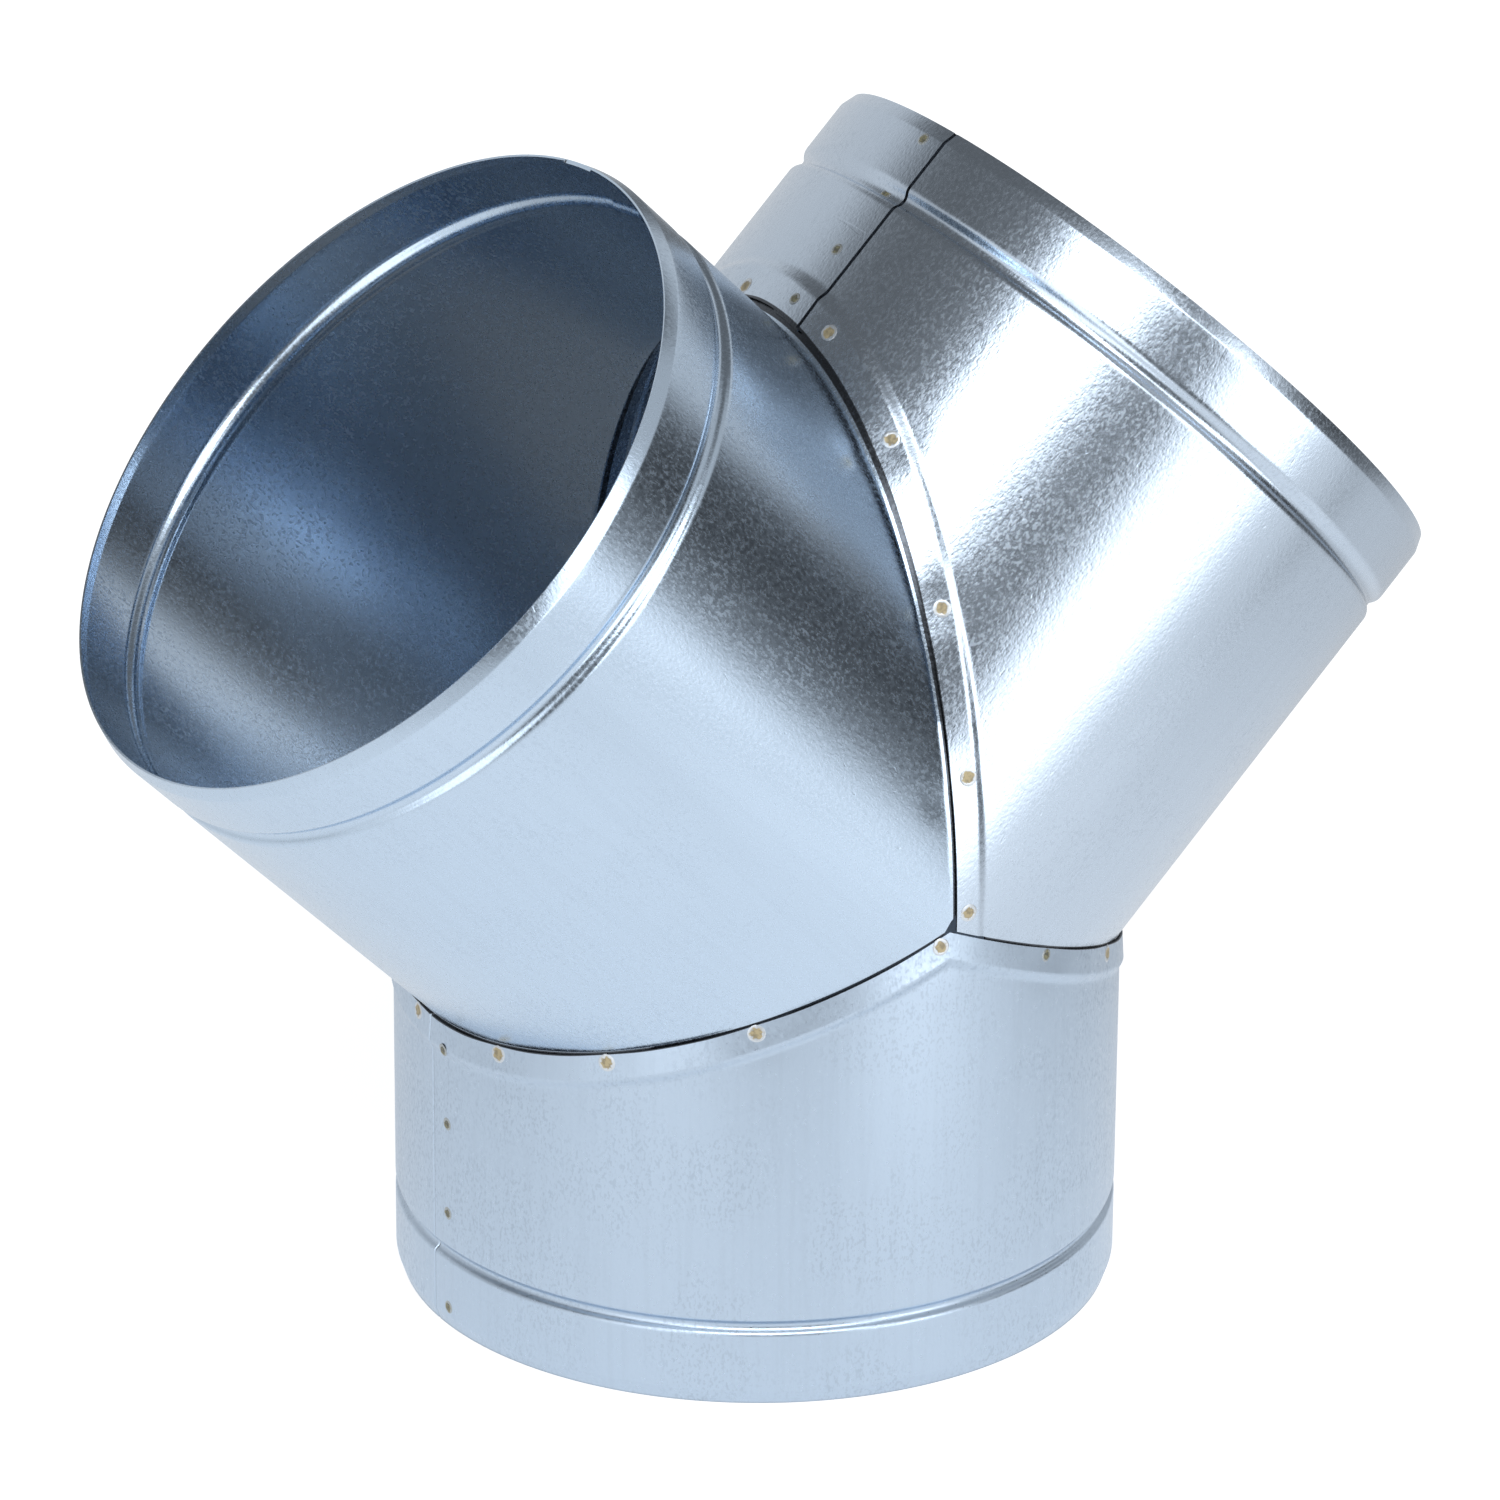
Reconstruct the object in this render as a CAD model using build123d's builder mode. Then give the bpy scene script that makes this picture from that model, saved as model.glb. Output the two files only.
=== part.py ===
from build123d import *
import os
from math import cos, degrees, radians, sin

# A duct Y branch of thin galvanised sheet: one pipe below and two leaning
# branches above, all of one diameter, cut on mitres that meet in one point.
# The origin is the middle of the lower pipe's open end, with the branches
# leaning to -X and +X and the front towards -Y.

# Driving dimensions, in millimetres and degrees
pipe_diameter = 250.0  # outside of all three pipes
sheet = 0.7  # thickness of the steel
centre_height = 167.0  # the point where the three axes meet
branch_length = 211.0  # from that point to a branch's open end
lean = 45.0  # of each branch, from upright

# Stiffening groove that is rolled in near each open end
groove_from_end = 28.7  # middle of the groove
groove_depth = 2.0
groove_floor = 2.5  # flat bottom between the sloping sides
branch_groove_width = 10.0
base_groove_width = 7.0

# Open ends, bent in a little so that the next duct slides on
lead_in_length = 5.0
lead_in_drop = 1.7

# Mitre seams: the outer sheet is belled out over a flange of its neighbour
flange_depth = 9.0
crotch_flange_depth = 10.0
flange_tip_gap = 0.5  # from the flange's tip to the bell
bell_run = 2.0  # over which the sheet widens
seam_gap = 0.15  # between the flange and the sheet that laps it
base_edge_gap = 0.8  # from the mitre down to the base's free edge
crotch_edge_gap = 2.5  # from the mitre to the right branch's free edge
flange_end_gap = 1.0  # from the left branch's flange to the middle
corner_relief = 2.5  # radius of the hole where the three pipes meet

# Lap seam along each rolled pipe, turned about the pipe from its reference side
lap_width = 15.0
lap_slot = 1.2  # visible line beside the outer sheet's edge
lap_tie = 1.0  # the inner layer runs on past the line
branch_lap_turn = 9.0
base_lap_turn = 1.0

# Values that follow
pipe_radius = pipe_diameter / 2
half_lean = radians(lean / 2)
bell_top = flange_depth + flange_tip_gap
bell_foot = bell_top + bell_run
crotch_bell_top = crotch_flange_depth + flange_tip_gap
crotch_bell_foot = crotch_bell_top + bell_run
cut_margin = sheet + seam_gap  # drawn past a mitre, and cut off there
centre = Vector(0, 0, centre_height)

# Each pipe's own plane looks along its axis to its open end, and its X points
# at the edge of the lap seam: the -X side of the base, or near the crotch
lean_angle = radians(lean)
base_pipe_plane = Plane(centre, x_dir=(-1, 0, 0), z_dir=(0, 0, -1))
left_pipe_plane = Plane(
    centre,
    x_dir=(cos(lean_angle), 0, sin(lean_angle)),
    z_dir=(-sin(lean_angle), 0, cos(lean_angle)),
)
right_pipe_plane = Plane(
    centre,
    x_dir=(-cos(lean_angle), 0, sin(lean_angle)),
    z_dir=(sin(lean_angle), 0, cos(lean_angle)),
)

# Mitre planes: two look up from the base into a branch, and the third looks
# from the left branch into the right one
left_mitre = Plane(
    centre,
    x_dir=(cos(half_lean), 0, sin(half_lean)),
    z_dir=(-sin(half_lean), 0, cos(half_lean)),
)
right_mitre = Plane(
    centre,
    x_dir=(cos(half_lean), 0, -sin(half_lean)),
    z_dir=(sin(half_lean), 0, cos(half_lean)),
)
crotch_mitre = Plane(centre, x_dir=(0, 0, 1), z_dir=(1, 0, 0))


def wall_section(line, length, groove_width, layer=0):
    """Section of one layer of a pipe's sheet, from below its mitre to its open end."""
    radius = pipe_radius
    groove_middle = length - groove_from_end
    cut_plane = Plane(line.origin, x_dir=line.x_dir, z_dir=-line.y_dir)
    with BuildSketch(cut_plane) as section:
        for layers, mode in ((layer + 1, Mode.ADD), (layer, Mode.SUBTRACT)):
            if layers == 0:
                continue
            with BuildLine():
                Polyline(
                    (radius, -cut_margin),
                    (radius, groove_middle - groove_width / 2),
                    (radius - groove_depth, groove_middle - groove_floor / 2),
                    (radius - groove_depth, groove_middle + groove_floor / 2),
                    (radius, groove_middle + groove_width / 2),
                    (radius, length - lead_in_length),
                    (radius - lead_in_drop, length),
                )
                offset(amount=layers * sheet, side=Side.LEFT, kind=Kind.INTERSECTION)
            make_face(mode=mode)
    return section.sketch


def turned(line, angle):
    """A pipe's plane, turned about the pipe's axis."""
    x_dir = line.x_dir.rotate(Axis(line.origin, line.z_dir), angle)
    return Plane(line.origin, x_dir=x_dir, z_dir=line.z_dir)


def slanted_plane(line, mitre, distance):
    """Plane along a mitre, at a distance from it, centred on a pipe's axis."""
    slant = line.z_dir.dot(mitre.z_dir)
    return Plane(line.origin + line.z_dir * (distance / slant), x_dir=mitre.x_dir, z_dir=mitre.z_dir)


def seam_ring(line, mitre, outside, start, end):
    """Ring of sheet round a pipe's axis, cut by two planes along a mitre."""
    reach = pipe_diameter
    with BuildPart() as ring:
        with BuildSketch(line.offset(-reach)):
            Circle(outside)
            Circle(outside - sheet, mode=Mode.SUBTRACT)
        extrude(amount=2 * reach)
        split(bisect_by=mitre.offset(start), keep=Keep.TOP)
        split(bisect_by=mitre.offset(end), keep=Keep.BOTTOM)
    return ring.part


def bell_ring(line, mitre, start, end):
    """Ring of sheet that widens from a pipe's own wall to the band over the flange."""
    slant = abs(line.z_dir.dot(mitre.z_dir))
    outer = (pipe_radius, pipe_radius + seam_gap + sheet)
    inner = (pipe_radius - sheet, pipe_radius + seam_gap)
    with BuildPart() as ring:
        for (narrow, wide), mode in ((outer, Mode.ADD), (inner, Mode.SUBTRACT)):
            with BuildSketch(slanted_plane(line, mitre, start)):
                Ellipse(narrow / slant, narrow)
            with BuildSketch(slanted_plane(line, mitre, end)):
                Ellipse(wide / slant, wide)
            loft(ruled=True, mode=mode)
    return ring.part


def lap_line_cut(line, length):
    """Narrow cut through the outer layer, beside the edge of the lap seam."""
    depth = groove_depth + sheet + cut_margin
    with BuildPart() as cut:
        with BuildSketch(line):
            with Locations((pipe_radius, lap_slot / 2)):
                Rectangle(2 * depth, lap_slot)
        extrude(amount=length + cut_margin)
    return cut.part


def lap_layer(line, length, groove_width):
    """Inner layer of the lap seam, from behind the outer sheet to past the line."""
    hidden_turn = degrees(lap_width / pipe_radius)
    shown_turn = degrees((lap_slot + lap_tie) / pipe_radius)
    start = turned(line, -hidden_turn)
    with BuildPart() as layer:
        revolve(
            wall_section(start, length, groove_width, layer=1),
            axis=Axis(line.origin, line.z_dir),
            revolution_arc=hidden_turn + shown_turn,
        )
    return layer.part


base_line = turned(base_pipe_plane, base_lap_turn)
left_line = turned(left_pipe_plane, branch_lap_turn)
right_line = turned(right_pipe_plane, branch_lap_turn)
band_outside = pipe_radius + seam_gap + sheet

# The base: a short upright pipe whose top is belled over both branches
with BuildPart() as base_pipe:
    revolve(
        wall_section(base_line, centre_height, base_groove_width),
        axis=Axis(base_line.origin, base_line.z_dir),
    )
    split(bisect_by=left_mitre.offset(-bell_foot), keep=Keep.BOTTOM)
    split(bisect_by=right_mitre.offset(-bell_foot), keep=Keep.BOTTOM)
    for mitre, side in ((left_mitre, Keep.BOTTOM), (right_mitre, Keep.TOP)):
        bell = bell_ring(base_line, mitre, -bell_foot, -bell_top)
        band = seam_ring(base_line, mitre, band_outside, -bell_top, -base_edge_gap)
        add(split(bell + band, bisect_by=crotch_mitre, keep=side, mode=Mode.PRIVATE))
    add(lap_line_cut(base_line, centre_height), mode=Mode.SUBTRACT)
    inner_layer = lap_layer(base_line, centre_height, base_groove_width)
    lap_end = left_mitre.offset(-bell_top)
    add(split(inner_layer, bisect_by=lap_end, keep=Keep.BOTTOM, mode=Mode.PRIVATE))

base_pipe.part.label = "base_pipe"

# The left branch: its sheet is folded at both mitres into flanges, one that
# stands in the base and one that stands in the right branch
with BuildPart() as left_branch:
    revolve(
        wall_section(left_line, branch_length, branch_groove_width),
        axis=Axis(left_line.origin, left_line.z_dir),
    )
    add(lap_line_cut(left_line, branch_length), mode=Mode.SUBTRACT)
    split(bisect_by=left_mitre, keep=Keep.TOP)
    split(bisect_by=crotch_mitre, keep=Keep.BOTTOM)
    lower_flange = seam_ring(base_line, left_mitre, pipe_radius, -flange_depth, 0)
    lower_end = crotch_mitre.offset(-flange_end_gap)
    add(split(lower_flange, bisect_by=lower_end, keep=Keep.BOTTOM, mode=Mode.PRIVATE))
    crotch_flange = seam_ring(right_line, crotch_mitre, pipe_radius, 0, crotch_flange_depth)
    crotch_end = right_mitre.offset(base_edge_gap)
    add(split(crotch_flange, bisect_by=crotch_end, keep=Keep.TOP, mode=Mode.PRIVATE))
    with BuildSketch(Plane.XZ):
        with Locations((0, centre_height)):
            Circle(corner_relief)
    extrude(amount=pipe_diameter, both=True, mode=Mode.SUBTRACT)
    inner_layer = lap_layer(left_line, branch_length, branch_groove_width)
    lap_end = crotch_mitre.offset(-flange_tip_gap)
    add(split(inner_layer, bisect_by=lap_end, keep=Keep.BOTTOM, mode=Mode.PRIVATE))

left_branch.part.label = "left_branch"

# The right branch: belled out over the left one, with its own flange in the base
with BuildPart() as right_branch:
    revolve(
        wall_section(right_line, branch_length, branch_groove_width),
        axis=Axis(right_line.origin, right_line.z_dir),
    )
    split(bisect_by=crotch_mitre.offset(crotch_bell_foot), keep=Keep.TOP)
    add(bell_ring(right_line, crotch_mitre, crotch_bell_foot, crotch_bell_top))
    add(seam_ring(right_line, crotch_mitre, band_outside, crotch_edge_gap, crotch_bell_top))
    add(lap_line_cut(right_line, branch_length), mode=Mode.SUBTRACT)
    split(bisect_by=right_mitre, keep=Keep.TOP)
    lower_flange = seam_ring(base_line, right_mitre, pipe_radius, -flange_depth, 0)
    lower_end = crotch_mitre.offset(crotch_bell_foot)
    add(split(lower_flange, bisect_by=lower_end, keep=Keep.TOP, mode=Mode.PRIVATE))
    inner_layer = lap_layer(right_line, branch_length, branch_groove_width)
    lap_end = crotch_mitre.offset(crotch_bell_top)
    add(split(inner_layer, bisect_by=lap_end, keep=Keep.TOP, mode=Mode.PRIVATE))

right_branch.part.label = "right_branch"

os.makedirs("parts", exist_ok=True)
export_step(base_pipe.part, "parts/base_pipe.step")
export_step(left_branch.part, "parts/left_branch.step")
export_step(right_branch.part, "parts/right_branch.step")
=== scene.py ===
from math import asin, cos, pi, radians, sin

import bmesh
import bpy
from mathutils import Matrix, Vector


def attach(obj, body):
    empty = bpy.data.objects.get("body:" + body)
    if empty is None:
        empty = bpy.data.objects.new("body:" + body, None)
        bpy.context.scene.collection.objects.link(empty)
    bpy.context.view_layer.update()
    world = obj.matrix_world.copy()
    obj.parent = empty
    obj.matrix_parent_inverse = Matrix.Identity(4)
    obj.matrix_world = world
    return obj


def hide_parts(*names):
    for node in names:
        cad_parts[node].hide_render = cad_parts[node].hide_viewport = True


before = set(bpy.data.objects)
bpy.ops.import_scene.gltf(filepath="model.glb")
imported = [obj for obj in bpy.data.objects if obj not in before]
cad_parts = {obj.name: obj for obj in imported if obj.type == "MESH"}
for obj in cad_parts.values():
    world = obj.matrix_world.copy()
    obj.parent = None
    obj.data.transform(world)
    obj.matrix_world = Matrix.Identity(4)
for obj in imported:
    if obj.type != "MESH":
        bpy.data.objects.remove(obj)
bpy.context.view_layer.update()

# Base pipe: a rolled and spot-welded sheet of galvanised steel, 250 mm across.
# A groove is rolled in near its lower end, which is bent in for the next duct,
# and its upper edge is cut on two mitres and belled out over both branches.
MM = 0.001
PIPE_RADIUS = 125 * MM
SHEET = 0.7 * MM
HALF_LEAN = radians(22.5)
CENTRE = Vector((0, 0, 167 * MM))
BASE_LENGTH = 167 * MM
BASE_GROOVE = 7 * MM
BASE_LAP_TURN = radians(1)
GROOVE_FROM_END = 28.7 * MM
GROOVE_DEPTH = 2 * MM
LEAD_IN_LENGTH = 5 * MM
LEAD_IN_DROP = 1.7 * MM
COLUMNS = 320
LAP_WIDTH = 15 * MM
LAP_SLOT = 1.3 * MM
LAP_CLEARANCE = 0.03 * MM
BAND_DEPTH = 9.2 * MM
BELL_RUN = 3.6 * MM
BELL_RISE = 1.4 * MM
BAND_EDGE_RISE = 0.85 * MM
BASE_EDGE_GAP = 0.8 * MM
NEAR_SEAM = 18 * MM
CUT_SNAP = 0.001 * MM
WELD_BELOW_MITRE = 3.6 * MM
WELD_DENT = 0.42 * MM
WELD_DENT_REACH = 17 * MM
FLANGE_DEPTH = 9 * MM

left_mitre = Vector((-sin(HALF_LEAN), 0, cos(HALF_LEAN)))
right_mitre = Vector((sin(HALF_LEAN), 0, cos(HALF_LEAN)))
crotch_mitre = Vector((1, 0, 0))


def upright(z_axis, x_axis):
    """The turn and place of a pipe whose axis runs from the centre along z_axis."""
    y_axis = z_axis.cross(x_axis)
    turn = Matrix((x_axis, y_axis, z_axis)).transposed().to_4x4()
    return Matrix.Translation(CENTRE) @ turn


def choose(pipe, kind, test):
    """Selects the vertices, edges or faces of a piece that pass a test, and nothing else."""
    mesh = bmesh.from_edit_mesh(pipe.data)
    for part in (*mesh.verts, *mesh.edges, *mesh.faces):
        part.select = False
    for part in getattr(mesh, kind):
        if test(part):
            part.select_set(True)
    bmesh.update_edit_mesh(pipe.data)


def side_rows(length, groove_width):
    """Heights and drops of a pipe's side above its mitre, up to its open end."""
    half = groove_width / 2
    bend = (half**2 + GROOVE_DEPTH**2) / (4 * GROOVE_DEPTH)
    swing = asin(half / 2 / bend)
    arc = [swing * step / 5 for step in range(6)]
    shoulder = [(-half + bend * sin(a), bend * (1 - cos(a))) for a in arc]
    floor = [(-bend * sin(a), GROOVE_DEPTH - bend * (1 - cos(a))) for a in arc[-2::-1]]
    side = [(-half - 3 * MM, 0), (-half - 0.6 * MM, 0)] + shoulder + floor
    middle = length - GROOVE_FROM_END
    rows = [(middle + height, drop) for height, drop in side]
    rows += [(middle - height, drop) for height, drop in side[-2::-1]]
    foot = length - LEAD_IN_LENGTH
    rows += [(foot - 3 * MM, 0), (foot - 0.5 * MM, 0), (foot - 0.1 * MM, 0.02 * MM)]
    rows += [(foot + 0.4 * MM, 0.12 * MM), (length, LEAD_IN_DROP)]
    return rows


def rolled_pipe(name, length, groove_width, lap_turn):
    """The sheet of one pipe, rolled up on the Z axis with its far edge lapped under.
    It runs past its mitre below and up to its open end above."""
    bpy.ops.object.select_all(action="DESELECT")
    bpy.ops.mesh.primitive_plane_add(size=MM, location=(0, 0, 0))
    pipe = bpy.context.object
    pipe.name = name
    pipe.data.name = name
    bpy.ops.object.mode_set(mode="EDIT")
    bpy.ops.mesh.merge(type="CENTER")
    across = Vector((cos(lap_turn), sin(lap_turn), 0))
    height, drop = -20 * MM, 0.0
    bpy.ops.transform.translate(value=across * PIPE_RADIUS + Vector((0, 0, height)))
    for next_height, next_drop in side_rows(length, groove_width):
        move = Vector((0, 0, next_height - height)) - across * (next_drop - drop)
        bpy.ops.mesh.extrude_vertices_move(TRANSFORM_OT_translate={"value": move})
        height, drop = next_height, next_drop
    bpy.ops.mesh.select_all(action="SELECT")
    slot_turn = LAP_SLOT / PIPE_RADIUS
    spin = {"use_auto_merge": False, "center": (0, 0, 0), "axis": (0, 0, 1)}
    bpy.ops.mesh.spin(steps=COLUMNS, angle=2 * pi - slot_turn, **spin)
    bpy.ops.mesh.spin(steps=1, angle=slot_turn * 0.45, **spin)
    tuck = 1 - (SHEET + LAP_CLEARANCE) / PIPE_RADIUS
    bpy.ops.transform.resize(value=(tuck, tuck, 1), center_override=(0, 0, 0))
    bpy.ops.mesh.spin(steps=7, angle=slot_turn * 0.55 + LAP_WIDTH / PIPE_RADIUS, **spin)
    bpy.ops.object.mode_set(mode="OBJECT")
    return pipe


def trim(pipe, point, normal):
    """Cuts the sheet along a plane and drops what lies on the normal's side."""
    bpy.ops.object.mode_set(mode="EDIT")
    bpy.ops.mesh.select_all(action="SELECT")
    cut = {"plane_co": point, "plane_no": normal, "threshold": CUT_SNAP}
    bpy.ops.mesh.bisect(clear_outer=True, **cut)
    bpy.ops.object.mode_set(mode="OBJECT")


def add_rows(pipe, points, normal, below):
    """Cuts rows across the plain wall below a height, along planes through some points."""
    bpy.ops.object.mode_set(mode="EDIT")
    for point in points:
        choose(pipe, "faces", lambda face: all(v.co.z < below for v in face.verts))
        bpy.ops.mesh.bisect(plane_co=point, plane_no=normal, threshold=CUT_SNAP)
    bpy.ops.object.mode_set(mode="OBJECT")


def grow_edge(pipe, test, rows):
    """Draws the open edges that pass a test on, row by row.
    Each row is a move and the rises along X and Y, over the plain wall, that it ends at."""
    bpy.ops.object.mode_set(mode="EDIT")
    choose(pipe, "edges", lambda edge: edge.is_boundary and test(edge))
    half_widths = (PIPE_RADIUS, PIPE_RADIUS)
    for move, rises in rows:
        bpy.ops.mesh.extrude_region_move(TRANSFORM_OT_translate={"value": move})
        next_widths = [PIPE_RADIUS + rise for rise in rises]
        spread = [after / before for after, before in zip(next_widths, half_widths)]
        bpy.ops.transform.resize(value=(*spread, 1), center_override=(0, 0, 0))
        half_widths = next_widths
    bpy.ops.object.mode_set(mode="OBJECT")


def bell_rows(edge_gap, band_depth, slant, rises):
    """Rows from the plain wall through the bell to the band's free edge, along -Z.
    Distances are square to the mitre, and slant turns them into runs. The bell's
    rises are those along X and along Y."""
    foot = band_depth + BELL_RUN
    rows = [(foot + NEAR_SEAM * (1 - step / 6) + 0.6 * MM, 0) for step in range(1, 6)]
    rows += [(foot + 0.6 * MM, 0), (foot, 0)]
    for share in (1 / 6, 2 / 6, 3 / 6, 4 / 6, 5 / 6, 1):
        rows.append((foot - BELL_RUN * share, (1 - cos(pi * share)) / 2))
    for share in (0.06, 0.25, 0.5, 0.75, 1):
        rows.append((band_depth - (band_depth - edge_gap) * share, 1 + share))
    moves = []
    last = foot + NEAR_SEAM + 0.6 * MM
    for distance, stage in rows:
        to_edge = max(0, stage - 1)
        widths = [rise * min(1, stage) + (BAND_EDGE_RISE - rise) * to_edge for rise in rises]
        moves.append((Vector((0, 0, (distance - last) / slant)), widths))
        last = distance
    return moves


def lies_on(point, normal, reach=0.02 * MM):
    """A test for edges that lie on a plane."""
    return lambda edge: all(abs(normal.dot(v.co - point)) < reach for v in edge.verts)


def press(pipe, point, push, reach):
    """Presses the sheet at a weld, with a soft dent round it."""
    bpy.ops.object.mode_set(mode="EDIT")
    mesh = bmesh.from_edit_mesh(pipe.data)
    nearest = min(mesh.verts, key=lambda vert: (vert.co - point).length_squared)
    choose(pipe, "verts", lambda vert: vert.index == nearest.index)
    bpy.ops.transform.translate(
        value=push,
        use_proportional_edit=True,
        proportional_edit_falloff="SMOOTH",
        proportional_size=reach,
    )
    bpy.ops.object.mode_set(mode="OBJECT")


def thicken(pipe, place):
    """Gives the sheet its thickness inwards, and sets the pipe in its place."""
    bpy.ops.object.mode_set(mode="EDIT")
    bpy.ops.mesh.select_all(action="SELECT")
    bpy.ops.mesh.remove_doubles(threshold=0.002 * MM)
    bpy.ops.mesh.normals_make_consistent(inside=False)
    mesh = bmesh.from_edit_mesh(pipe.data)
    wall = max(mesh.faces, key=lambda face: face.calc_area())
    if wall.normal.dot(Vector((*wall.calc_center_median().xy, 0))) < 0:
        bpy.ops.mesh.flip_normals()
    bpy.ops.object.mode_set(mode="OBJECT")
    bpy.ops.object.modifier_add(type="SOLIDIFY")
    pipe.modifiers[-1].thickness = SHEET
    pipe.modifiers[-1].offset = -1
    bpy.ops.object.modifier_apply(modifier=pipe.modifiers[-1].name)
    bpy.ops.object.shade_smooth_by_angle(angle=radians(32))
    pipe.matrix_world = place
    bpy.ops.object.transform_apply(location=True, rotation=True, scale=True)


class Shade:
    """A number, vector or colour inside a material, for use in plain sums."""

    def __init__(self, tree, socket=None):
        self.tree = tree
        self.socket = socket

    def node(self, kind, settings, inputs, output=0):
        made = self.tree.nodes.new(kind)
        for name, setting in settings.items():
            setattr(made, name, setting)
        for name, value in inputs.items():
            if isinstance(value, Shade):
                self.tree.links.new(value.socket, made.inputs[name])
            else:
                made.inputs[name].default_value = value
        return Shade(self.tree, made.outputs[output])

    def math(self, operation, *values):
        return self.node("ShaderNodeMath", {"operation": operation}, dict(enumerate(values)))

    def __add__(self, other):
        return self.math("ADD", self, other)

    def __sub__(self, other):
        return self.math("SUBTRACT", self, other)

    def __rsub__(self, other):
        return self.math("SUBTRACT", other, self)

    def __mul__(self, other):
        return self.math("MULTIPLY", self, other)

    def __truediv__(self, other):
        return self.math("DIVIDE", self, other)

    __radd__ = __add__
    __rmul__ = __mul__

    def rise(self, low, high):
        """0 below low and 1 above high, with a smooth step between them."""
        settings = {"interpolation_type": "SMOOTHSTEP"}
        return self.node("ShaderNodeMapRange", settings, {0: self, 1: low, 2: high})

    def fall(self, low, high):
        """1 below low and 0 above high, with a smooth step between them."""
        settings = {"interpolation_type": "SMOOTHSTEP"}
        inputs = {0: self, 1: low, 2: high, 3: 1, 4: 0}
        return self.node("ShaderNodeMapRange", settings, inputs)

    def between(self, low, high, soft):
        """1 between low and high, and 0 outside them."""
        return self.rise(low - soft, low + soft) * self.fall(high - soft, high + soft)

    def along(self, direction):
        """How far a place, or a normal, reaches along a direction."""
        settings = {"operation": "DOT_PRODUCT"}
        return self.node("ShaderNodeVectorMath", settings, {0: self, 1: direction}, 1)

    def times(self, scale):
        """A vector with each of its lengths scaled."""
        settings = {"operation": "MULTIPLY"}
        return self.node("ShaderNodeVectorMath", settings, {0: self, 1: scale})

    def mix(self, first, second):
        """The first colour where this is 0 and the second where it is 1."""
        settings = {"data_type": "RGBA"}
        return self.node("ShaderNodeMix", settings, {0: self, 6: first, 7: second}, 2)


def galvanised_sheet(name, place, lap_turn, gaps, tint, roughness, grain, flecks, streaks):
    """Zinc-coated steel: fine crystals drawn out along the pipe, dull flecks and
    streaks, hair lines that the rollers leave round it, and a few scratches.
    Gaps are the places beside a mitre where the sheet is darkened as a painted
    shade, each a direction and the distances from the centre between which it runs.
    The edge of the lap is darkened the same way."""
    material = bpy.data.materials.new(name)
    material.use_nodes = True
    tree = material.node_tree
    shader = tree.nodes["Principled BSDF"]
    shader.inputs["Metallic"].default_value = 1
    start = Shade(tree)
    world = start.node("ShaderNodeTexCoord", {}, {}, "Object")
    # Straighten the pattern onto the pipe's own axis
    turn = place.to_3x3()
    straight = {
        "Vector": world,
        "Rotation": turn.transposed().to_euler(),
        "Location": turn.transposed() @ -CENTRE,
    }
    place_on_pipe = start.node("ShaderNodeMapping", {"vector_type": "POINT"}, straight)

    def noise(vector, size, detail, rough=0.5):
        inputs = {"Vector": vector, "Scale": 1 / size, "Detail": detail, "Roughness": rough}
        return start.node("ShaderNodeTexNoise", {}, inputs, "Fac")

    crystals = noise(place_on_pipe.times((1, 1, 0.6)), 1.05 * MM, 1, 0.7)
    clouds = noise(place_on_pipe, 34 * MM, 2)
    waves = noise(place_on_pipe, 70 * MM, 0)
    drawn = noise(place_on_pipe.times((1, 1, 0.05)), 2.6 * MM, 1)
    ringed = noise(place_on_pipe.times((0.015, 0.015, 1)), 1.1 * MM, 0)
    askew = start.node(
        "ShaderNodeMapping",
        {"vector_type": "POINT"},
        {"Vector": place_on_pipe, "Rotation": (0.5, 0.3, 0.7), "Scale": (1, 0.03, 0.5)},
    )
    scratched = noise(askew, 1.6 * MM, 0).rise(0.80, 0.86)
    speck = crystals.rise(0.52, 0.64) * clouds.rise(0.40, 0.60)
    streak = drawn.rise(0.45, 0.70)
    tone = speck * flecks + streak * streaks
    dull = tuple(0.6 * channel for channel in tint)
    zinc = tone.mix((*tint, 1), (*dull, 1))

    # The edge of the lap, and the gaps beside the mitres, are darkened: painted shade in the lap's
    # slot and in the seams
    across = turn @ Vector((cos(lap_turn), sin(lap_turn), 0))
    beside = turn @ Vector((-sin(lap_turn), cos(lap_turn), 0))
    facing = start.node("ShaderNodeNewGeometry", {}, {}, "True Normal").along(across)
    from_edge = world.along(beside) - CENTRE.dot(beside)
    near_side = (world.along(across) - CENTRE.dot(across)).rise(0, 1 * MM)
    painted_shade = from_edge.between(-0.1 * MM, 0.9 * MM, 0.05 * MM) * near_side * facing.rise(-0.6, -0.3)
    for direction, low, high in gaps:
        beyond = world.along(direction) - CENTRE.dot(direction)
        painted_shade = painted_shade + beyond.between(low, high, 0.06 * MM)
    base = painted_shade.mix(zinc, (0.08, 0.09, 0.105, 1))
    tree.links.new(base.socket, shader.inputs["Base Color"])
    rough = roughness + (crystals - 0.5) * (1.1 * roughness) + speck * 0.04
    tree.links.new(rough.socket, shader.inputs["Roughness"])
    height = crystals * grain + ringed * 0.0025 * MM + waves * 0.3 * MM
    height = height - scratched * 0.02 * MM
    bump = start.node("ShaderNodeBump", {}, {"Strength": 1, "Distance": 1, "Height": height})
    tree.links.new(bump.socket, shader.inputs["Normal"])
    return material


def coat(piece, material):
    """Gives a finished piece its one material."""
    piece.data.materials.clear()
    piece.data.materials.append(material)


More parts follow.
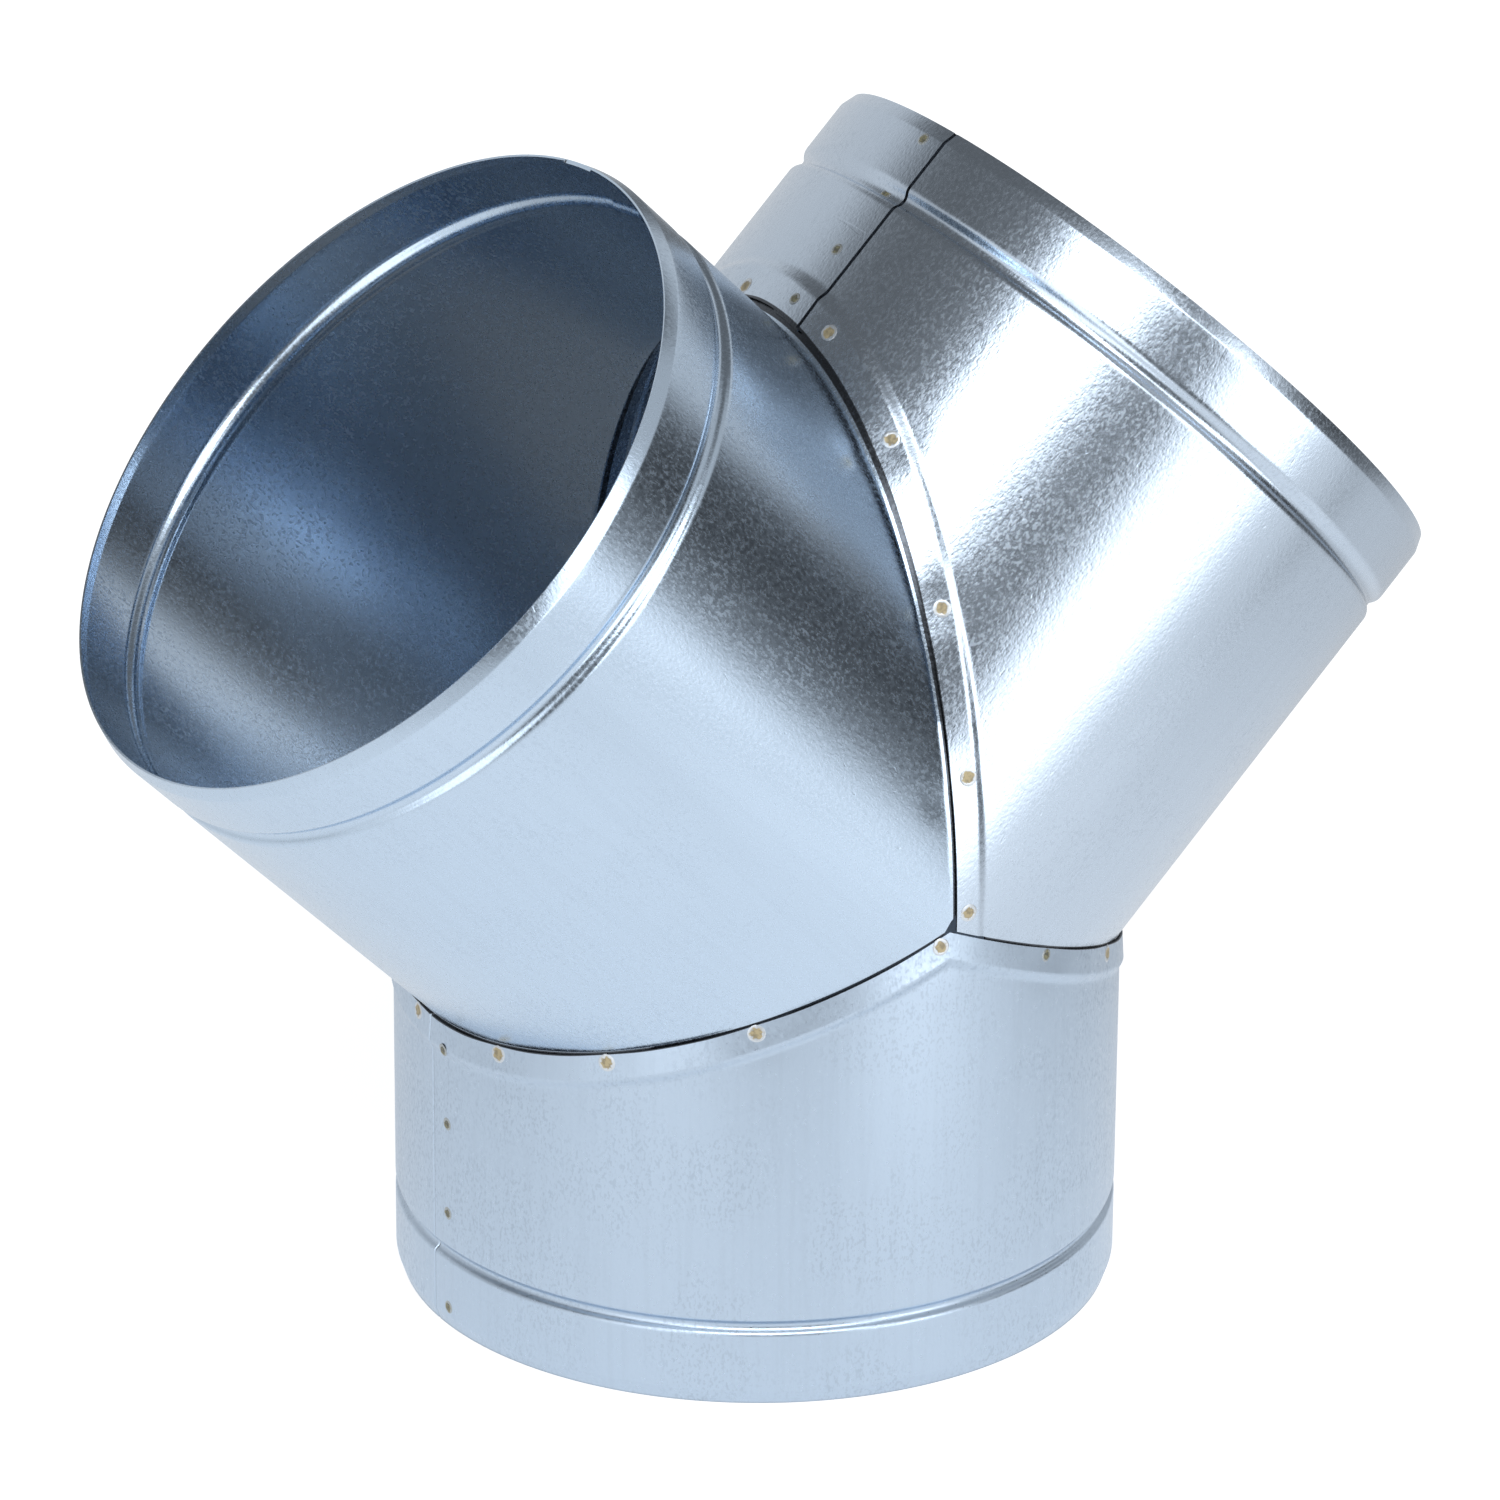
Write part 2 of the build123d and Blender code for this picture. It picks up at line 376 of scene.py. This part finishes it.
base_place = upright(Vector((0, 0, -1)), Vector((-1, 0, 0)))
base_pipe = rolled_pipe("base_sheet", BASE_LENGTH, BASE_GROOVE, BASE_LAP_TURN)
into_base = base_place.to_3x3().transposed()
seam_slant = cos(HALF_LEAN)
cut_depth = BAND_DEPTH + BELL_RUN + NEAR_SEAM + 0.6 * MM
for mitre in (into_base @ left_mitre, into_base @ right_mitre):
    trim(base_pipe, -cut_depth * mitre, mitre)


def on_base_top(edge):
    """The base's cut edge, on either mitre."""
    tests = [lies_on(-cut_depth * m, m) for m in (into_base @ left_mitre, into_base @ right_mitre)]
    return any(test(edge) for test in tests)


base_rises = (BELL_RISE, BELL_RISE)
base_rows = bell_rows(BASE_EDGE_GAP, BAND_DEPTH, seam_slant, base_rises)
grow_edge(base_pipe, on_base_top, base_rows)


def base_weld(turn, below_mitre):
    """A point on the base's band, at an angle from -X towards the front."""
    x = -PIPE_RADIUS * cos(turn)
    z = CENTRE.z - 0.4142 * abs(x) - below_mitre / seam_slant
    return Vector((x, -PIPE_RADIUS * sin(turn), z))


base_welds = [
    base_weld(radians(turn), WELD_BELOW_MITRE)
    for turn in (16.3, 36.4, 59.6, 88.4, 130.7, 152, 174)
    + (-6, -28, -50, -71, -92, -114, -136, -158)
]
burnt_weld = base_weld(radians(109.9), 3.2 * MM)
base_lap_welds = [
    Vector((-PIPE_RADIUS * cos(radians(3)), -PIPE_RADIUS * sin(radians(3)), height * MM))
    for height in (8.3, 43.7, 77.1, 104.9)
]
for point in [*base_welds, burnt_weld]:
    inwards = into_base @ Vector((-point.x, -point.y, 0)).normalized()
    press(base_pipe, into_base @ (point - CENTRE), inwards * WELD_DENT, WELD_DENT_REACH)
thicken(base_pipe, base_place)
base_zinc = galvanised_sheet(
    "base_zinc",
    base_place,
    BASE_LAP_TURN,
    # The cut edge of the band beside each mitre is darkened: a painted shade in the seam
    [(mitre, -BASE_EDGE_GAP - 0.04 * MM, 1 * MM) for mitre in (left_mitre, right_mitre)],
    tint=(0.50, 0.60, 0.72),
    roughness=0.36,
    grain=0.03 * MM,
    flecks=0.22,
    streaks=0.06,
)
coat(base_pipe, base_zinc)
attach(base_pipe, "root")
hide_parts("base_pipe")

# Left branch: the same sheet, rolled up with its lap at the back of the crotch.
# Its edges are folded at both mitres into flanges, which stand in the base and
# in the right branch.
BRANCH_LENGTH = 211 * MM
BRANCH_GROOVE = 10 * MM
LEAN = radians(45)
BRANCH_LAP_TURN = radians(9)
CROTCH_FLANGE_DEPTH = 10 * MM
PLAIN_WALL_TOP = BRANCH_LENGTH - GROOVE_FROM_END - BRANCH_GROOVE / 2 - 2 * MM
FOLD_PAST_MITRE = 0.6 * MM
CORNER_RELIEF = 0.9 * MM

left_axis = Vector((-sin(LEAN), 0, cos(LEAN)))
right_axis = Vector((sin(LEAN), 0, cos(LEAN)))
left_place = upright(left_axis, Vector((cos(LEAN), 0, sin(LEAN))))
right_place = upright(right_axis, Vector((-cos(LEAN), 0, sin(LEAN))))
origin = Vector((0, 0, 0))

into_left = left_place.to_3x3().transposed()
left_pipe = rolled_pipe("left_sheet", BRANCH_LENGTH, BRANCH_GROOVE, BRANCH_LAP_TURN)
left_lower = into_left @ left_mitre
left_crotch = into_left @ crotch_mitre
trim(left_pipe, origin, -left_lower)
trim(left_pipe, left_crotch * FOLD_PAST_MITRE, left_crotch)
for normal, sign in ((left_lower, 1), (left_crotch, -1)):
    depths = [sign * depth * MM for depth in (0.6, 3, 6, 9, 12, 16, 21)]
    add_rows(left_pipe, [normal * depth for depth in depths], normal, PLAIN_WALL_TOP)
# The corner between the two folds is nicked off, so that the sheet folds freely
towards_corner = into_left @ (crotch_mitre - left_mitre).normalized()
trim(left_pipe, towards_corner * -CORNER_RELIEF, towards_corner)


def left_lower_edge(edge):
    """The edge that stands in the base, up to the middle."""
    on_plane = lies_on(origin, left_lower)(edge)
    return on_plane and all((left_place @ v.co).x < -1 * MM for v in edge.verts)


def left_crotch_edge(edge):
    """The edge that stands in the right branch, down to the base's edge."""
    on_plane = lies_on(left_crotch * FOLD_PAST_MITRE, left_crotch)(edge)
    heights = [right_mitre.dot(left_place @ vert.co - CENTRE) for vert in edge.verts]
    return on_plane and min(heights) > 0.3 * MM


lower_run = into_left @ Vector((0, 0, -1)) * (FLANGE_DEPTH / seam_slant / 3)
crotch_run = into_left @ right_axis * (CROTCH_FLANGE_DEPTH / sin(LEAN) / 4)
grow_edge(left_pipe, left_lower_edge, [(lower_run, (0, 0))] * 3)
grow_edge(left_pipe, left_crotch_edge, [(crotch_run, (0, 0))] * 4)
# Where the electrodes gripped the seam, this sheet is pressed in as well
for turn in (15, 34.8, 56.7, 76, -29, -51, -72):
    turn = radians(turn)
    spot = Vector((cos(turn), -sin(turn), cos(turn))) * PIPE_RADIUS + Vector((0, 0, 4 * MM))
    press(left_pipe, spot, Vector((-cos(turn), sin(turn), 0)) * 0.35 * MM, 9 * MM)
thicken(left_pipe, left_place)
left_zinc = galvanised_sheet(
    "left_zinc",
    left_place,
    BRANCH_LAP_TURN,
    # Each flange, just past its fold, is darkened: a painted shade in the seams
    [(-left_mitre, 0.08 * MM, 2.2 * MM), (crotch_mitre, 1.5 * MM, 4.5 * MM)],
    tint=(0.54, 0.655, 0.79),
    roughness=0.24,
    grain=0.035 * MM,
    flecks=0.10,
    streaks=0.04,
)
coat(left_pipe, left_zinc)
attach(left_pipe, "root")
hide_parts("left_branch")

# Right branch: the same again, with its lap at the front of the crotch. At the
# crotch its edge is belled out over the left branch's flange.
CROTCH_EDGE_GAP = 2.5 * MM
CROTCH_BAND_DEPTH = 10.5 * MM
CROTCH_BELL_RISES = (1.3 * MM, 0.95 * MM)

into_right = right_place.to_3x3().transposed()
right_pipe = rolled_pipe("right_sheet", BRANCH_LENGTH, BRANCH_GROOVE, BRANCH_LAP_TURN)
right_lower = into_right @ right_mitre
right_crotch = into_right @ crotch_mitre
crotch_cut = CROTCH_BAND_DEPTH + BELL_RUN + NEAR_SEAM + 0.6 * MM
trim(right_pipe, right_crotch * crotch_cut, -right_crotch)
crotch_edge = lies_on(right_crotch * crotch_cut, right_crotch)
crotch_rows = bell_rows(CROTCH_EDGE_GAP, CROTCH_BAND_DEPTH, sin(LEAN), CROTCH_BELL_RISES)
grow_edge(right_pipe, crotch_edge, crotch_rows)
trim(right_pipe, origin, -right_lower)
depths = [depth * MM for depth in (0.6, 3, 6, 9, 12, 16, 21)]
add_rows(right_pipe, [right_lower * depth for depth in depths], right_lower, PLAIN_WALL_TOP)


def right_lower_edge(edge):
    """The edge that stands in the base, from the bell's foot on."""
    foot = CROTCH_BAND_DEPTH + BELL_RUN
    on_plane = lies_on(origin, right_lower)(edge)
    return on_plane and all((right_place @ v.co).x > foot for v in edge.verts)


lower_run = into_right @ Vector((0, 0, -1)) * (FLANGE_DEPTH / seam_slant / 3)
grow_edge(right_pipe, right_lower_edge, [(lower_run, (0, 0))] * 3)


def crotch_weld(turn, beside_mitre):
    """A point on the right branch's band, at an angle from the crotch to the front."""
    along = beside_mitre / sin(LEAN) + PIPE_RADIUS * cos(turn)
    ring = Vector((PIPE_RADIUS * cos(turn), PIPE_RADIUS * sin(turn), along))
    return right_place @ ring


crotch_welds = [
    crotch_weld(radians(turn), depth * MM)
    for turn, depth in (
        (15, 7.5), (34.8, 8), (56.7, 8), (76, 8.5), (-8.3, 5),
        (-29, 7.5), (-51, 8), (-72, 8),
    )
]
for point in crotch_welds:
    spot = into_right @ (point - CENTRE)
    inwards = -Vector((*spot.xy, 0)).normalized()
    press(right_pipe, spot, inwards * 0.5 * MM, 14 * MM)
above_burnt = base_weld(radians(109.9), -2.5 * MM)
spot = into_right @ (above_burnt - CENTRE)
press(right_pipe, spot, -Vector((*spot.xy, 0)).normalized() * 0.5 * MM, 5 * MM)
thicken(right_pipe, right_place)
right_zinc = galvanised_sheet(
    "right_zinc",
    right_place,
    BRANCH_LAP_TURN,
    # The flange in the base, and the band's cut edge at the crotch, are darkened: a painted shade
    # in the seams
    [(-right_mitre, 0.08 * MM, 2.2 * MM), (-crotch_mitre, -CROTCH_EDGE_GAP - 0.05 * MM, 0)],
    tint=(0.55, 0.64, 0.75),
    roughness=0.24,
    grain=0.05 * MM,
    flecks=0.14,
    streaks=0.04,
)
coat(right_pipe, right_zinc)
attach(right_pipe, "root")
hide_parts("right_branch")

# Spot welds: marks that the electrodes leave, a shallow dish with a pale rim and
# a brown middle where the zinc is burnt. They hold the laps and the bands.
WELD_RADIUS = 3.1 * MM
LAP_WELD_RADIUS = 2.3 * MM


def weld_marks(name, pipe, points, reference, radius):
    """Copies of one dished mark, each set on the sheet where it is pressed."""
    marks = []
    for point in points:
        centre_line = reference(point)
        outwards = (point - centre_line).normalized()
        hit, spot, normal, _ = pipe.ray_cast(point + outwards * 8 * MM, -outwards)
        if not hit:
            raise ValueError(f"{name}: no sheet under the weld at {point}")
        bpy.ops.object.select_all(action="DESELECT")
        bpy.ops.mesh.primitive_circle_add(vertices=28, radius=radius, fill_type="NGON")
        mark = bpy.context.object
        bpy.ops.object.mode_set(mode="EDIT")
        for inset, lift in ((0.12, 0.14), (0.12, 0.05), (0.12, -0.05), (0.12, -0.04), (0.2, 0.0)):
            bpy.ops.mesh.inset(thickness=inset * radius, depth=0)
            bpy.ops.transform.translate(value=(0, 0, lift * MM))
        bpy.ops.object.mode_set(mode="OBJECT")
        bpy.ops.object.shade_smooth()
        tilt = Vector((0, 0, 1)).rotation_difference(normal).to_matrix().to_4x4()
        mark.matrix_world = Matrix.Translation(spot - normal * 0.01 * MM) @ tilt
        marks.append(mark)
    bpy.ops.object.select_all(action="DESELECT")
    for mark in marks:
        mark.select_set(True)
    bpy.context.view_layer.objects.active = marks[0]
    bpy.ops.object.join()
    joined = bpy.context.object
    joined.name = name
    joined.data.name = name
    bpy.ops.object.transform_apply(location=True, rotation=True, scale=True)
    return joined


def beside_axis(axis):
    """The nearest point on a pipe's axis."""
    return lambda point: CENTRE + axis * (point - CENTRE).dot(axis)


def lap_weld(place, from_end):
    """A point on a branch's lap, at a length from its open end."""
    turn = radians(5)
    ring = (PIPE_RADIUS * cos(turn), PIPE_RADIUS * sin(turn), BRANCH_LENGTH - from_end)
    return place @ Vector(ring)


def weld_finish(name, burnt, scorched, rim):
    """A burnt middle, blotched, inside a rim of its own."""
    material = bpy.data.materials.new(name)
    material.use_nodes = True
    tree = material.node_tree
    shader = tree.nodes["Principled BSDF"]
    start = Shade(tree)
    place = start.node("ShaderNodeTexCoord", {}, {}, "Object")
    on_mark = start.node("ShaderNodeTexCoord", {}, {}, "UV")
    middle = {0: on_mark, 1: (0.5, 0.5, 0)}
    reach = start.node("ShaderNodeVectorMath", {"operation": "DISTANCE"}, middle, 1)
    blotches = {"Vector": place, "Scale": 1 / (1.3 * MM), "Detail": 2}
    blotch = start.node("ShaderNodeTexNoise", {}, blotches, "Fac")
    burn = blotch.rise(0.38, 0.62).mix((*burnt, 1), (*scorched, 1))
    outer = (reach + (blotch - 0.5) * 0.4).rise(0.28, 0.38)
    colour = outer.mix(burn, (*rim, 1))
    tree.links.new(colour.socket, shader.inputs["Base Color"])
    shine = 0.25 + outer * 0.6
    tree.links.new(shine.socket, shader.inputs["Metallic"])
    shader.inputs["Roughness"].default_value = 0.42
    bump = {"Strength": 1, "Distance": 1, "Height": blotch * 0.12 * MM}
    tree.links.new(start.node("ShaderNodeBump", {}, bump).socket, shader.inputs["Normal"])
    return material


band_finish = weld_finish("band_weld", (0.42, 0.35, 0.21), (0.26, 0.22, 0.14), (0.62, 0.66, 0.70))
lap_finish = weld_finish("lap_weld", (0.22, 0.21, 0.13), (0.09, 0.09, 0.07), (0.42, 0.45, 0.46))
lap_lengths = (7.4, 29.4, 54.4, 76.2)
left_laps = [lap_weld(left_place, length * MM) for length in lap_lengths]
right_laps = [lap_weld(right_place, length * MM) for length in lap_lengths]
beside_corner = Vector((7 * MM, -125 * MM, 171.8 * MM))
base_laps = [*base_lap_welds, burnt_weld]
crotch_band = [*crotch_welds, beside_corner]
upwards = Vector((0, 0, 1))
sets = (
    ("base_band_welds", base_pipe, base_welds, upwards, WELD_RADIUS, band_finish),
    ("base_lap_welds", base_pipe, base_laps, upwards, LAP_WELD_RADIUS, lap_finish),
    ("left_lap_welds", left_pipe, left_laps, left_axis, LAP_WELD_RADIUS, lap_finish),
    ("crotch_welds", right_pipe, crotch_band, right_axis, WELD_RADIUS, band_finish),
    ("right_lap_welds", right_pipe, right_laps, right_axis, LAP_WELD_RADIUS, lap_finish),
)
for name, pipe, points, axis, radius, finish in sets:
    marks = weld_marks(name, pipe, points, beside_axis(axis), radius)
    coat(marks, finish)
    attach(marks, "root")

# Studio: a pale table top that glows a little, three soft boxes that stand in
# front, to the left and above the camera, and grey walls. To the camera the table
# glows evenly. To everything else, how brightly it glows is painted light: dimmer
# towards the back, the right and further out, with a painted pool of light further
# out towards the box in front, to the right. Under the part, where the base
# stands, it is darkened to a painted shade.
FLOOR_RADIUS = 0.62
FLOOR_SHADE = 0.28
PAINTED_SHADE_GLOW = 0.10
SHOWN_GLOW = 0.9

bpy.ops.object.select_all(action="DESELECT")
bpy.ops.mesh.primitive_circle_add(
    vertices=96, radius=FLOOR_RADIUS, fill_type="NGON", location=(0, 0, -0.0002)
)
floor = bpy.context.object
floor.name = "floor"
paper = bpy.data.materials.new("paper")
paper.use_nodes = True
paper_tree = paper.node_tree
paper_shader = paper_tree.nodes["Principled BSDF"]
paper_shader.inputs["Base Color"].default_value = (FLOOR_SHADE, FLOOR_SHADE, FLOOR_SHADE, 1)
paper_shader.inputs["Roughness"].default_value = 0.9
spot = Shade(paper_tree)
spot_split = paper_tree.nodes.new("ShaderNodeSeparateXYZ")
spot_place = spot.node("ShaderNodeTexCoord", {}, {}, "Object")
paper_tree.links.new(spot_place.socket, spot_split.inputs[0])
spot_x, spot_y = (Shade(paper_tree, spot_split.outputs[i]) for i in range(2))
spot_reach = spot.math("SQRT", spot_x * spot_x + spot_y * spot_y)
# Painted light: the table glows less towards the back, the right and further out
painted_glow = 0.84 - spot_y.rise(-0.45, 0.35) * 0.16 - spot_x.rise(0.05, 0.55) * 0.14
far = spot_reach.rise(0.33, 0.58)
# Towards the box in front, to the right, the table is a little brighter: a painted pool of light
painted_pool_side = spot_x * sin(radians(26)) - spot_y * cos(radians(26)) - spot_reach * 0.93
painted_glow = painted_glow - far * 0.12 + far * painted_pool_side.rise(-0.02, 0.02) * 0.2
# Under the part, where the base stands, the table is darkened: a painted shade
outside = spot_reach.rise(PIPE_RADIUS - 2 * MM, PIPE_RADIUS - 1 * MM)
painted_glow = PAINTED_SHADE_GLOW + outside * (painted_glow - PAINTED_SHADE_GLOW)
seen = spot.node("ShaderNodeLightPath", {}, {}, "Is Camera Ray")
painted_glow = painted_glow + seen * (SHOWN_GLOW - painted_glow)
painted_paper_light = painted_glow.mix((0, 0, 0, 1), (0.98, 0.99, 1, 1))
paper_shader.inputs["Emission Strength"].default_value = 1
paper_tree.links.new(painted_paper_light.socket, paper_shader.inputs["Emission Color"])
coat(floor, paper)

studio = bpy.data.worlds.new("studio")
studio.use_nodes = True
bpy.context.scene.world = studio
sky = studio.node_tree
for node in list(sky.nodes):
    sky.nodes.remove(node)
view_from = Shade(sky)
direction = view_from.node("ShaderNodeTexCoord", {}, {}, "Generated")
split = sky.nodes.new("ShaderNodeSeparateXYZ")
sky.links.new(direction.socket, split.inputs[0])
x, y, z = (Shade(sky, split.outputs[i]) for i in range(3))
turn = view_from.math("ARCTAN2", x, 0 - y) * (180 / pi)
climb = view_from.math("ARCSINE", z) * (180 / pi)


def patch(left, right, low, high, soft):
    """A soft-edged part of the room, by its turn from the front and its climb."""
    middle, half = (left + right) / 2, (right - left) / 2
    offset = view_from.math("ABSOLUTE", view_from.math("WRAP", turn - middle, 180, -180))
    return offset.fall(half - soft, half + soft) * climb.between(low, high, soft)


light = (
    0.16
    + patch(-52, 6, 33, 56, 5) * 5  # box above the camera
    + patch(3, 33, -14, 30, 4) * 2.6  # box in front, to the right
    + patch(-72, -43, -28, 38, 6) * 1.7  # box to the left
    + patch(-100, -72, -34, 36, 8) * 0.8
    + patch(-140, -100, -34, 30, 8) * 0.42
    + patch(-215, -136, -34, 36, 8) * 0.58
    + patch(30, 82, 16, 60, 8) * 0.42
    + patch(80, 128, 3, 30, 5) * 0.55
    + patch(-43, 3, -34, -16, 5) * 0.6
    + patch(3, 48, -36, -10, 4) * 0.75
    + patch(52, 150, -40, -18, 5) * 0.55
    + patch(-60, 20, 54, 72, 7) * 0.5
    - patch(50, 76, -4, 11, 4) * 0.12
)
camera_ray = view_from.node("ShaderNodeLightPath", {}, {}, "Is Camera Ray")
shown = light + camera_ray * (1.2 - light)
lit = view_from.node("ShaderNodeBackground", {}, {"Color": (0.98, 0.99, 1, 1), "Strength": shown})
sky_out = sky.nodes.new("ShaderNodeOutputWorld")
sky.links.new(lit.socket, sky_out.inputs["Surface"])

# Camera: from the front and to the left, looking down 22 degrees through a long
# lens that fills the frame with the part.
CAMERA_TURN = radians(-30.455)
CAMERA_CLIMB = radians(22.225)
CAMERA_ROLL = radians(0.397)
CAMERA_DISTANCE = 2780.35 * MM
target = Vector((-3.123 * MM, 0, 187.015 * MM))

back = Vector(
    (
        sin(CAMERA_TURN) * cos(CAMERA_CLIMB),
        -cos(CAMERA_TURN) * cos(CAMERA_CLIMB),
        sin(CAMERA_CLIMB),
    )
)
right = Vector((0, 0, 1)).cross(back).normalized()
up = back.cross(right)
level_right = right * cos(CAMERA_ROLL) + up * sin(CAMERA_ROLL)
level_up = up * cos(CAMERA_ROLL) - right * sin(CAMERA_ROLL)
camera_data = bpy.data.cameras.new("camera")
camera_data.lens = 195.80
camera_data.sensor_width = 36
camera = bpy.data.objects.new("camera", camera_data)
turned = Matrix((level_right, level_up, back)).transposed().to_4x4()
camera.matrix_world = Matrix.Translation(target + back * CAMERA_DISTANCE) @ turned
bpy.context.scene.collection.objects.link(camera)
bpy.context.scene.camera = camera
bpy.context.scene.view_settings.view_transform = "Standard"
bpy.context.scene.cycles.max_bounces = 6
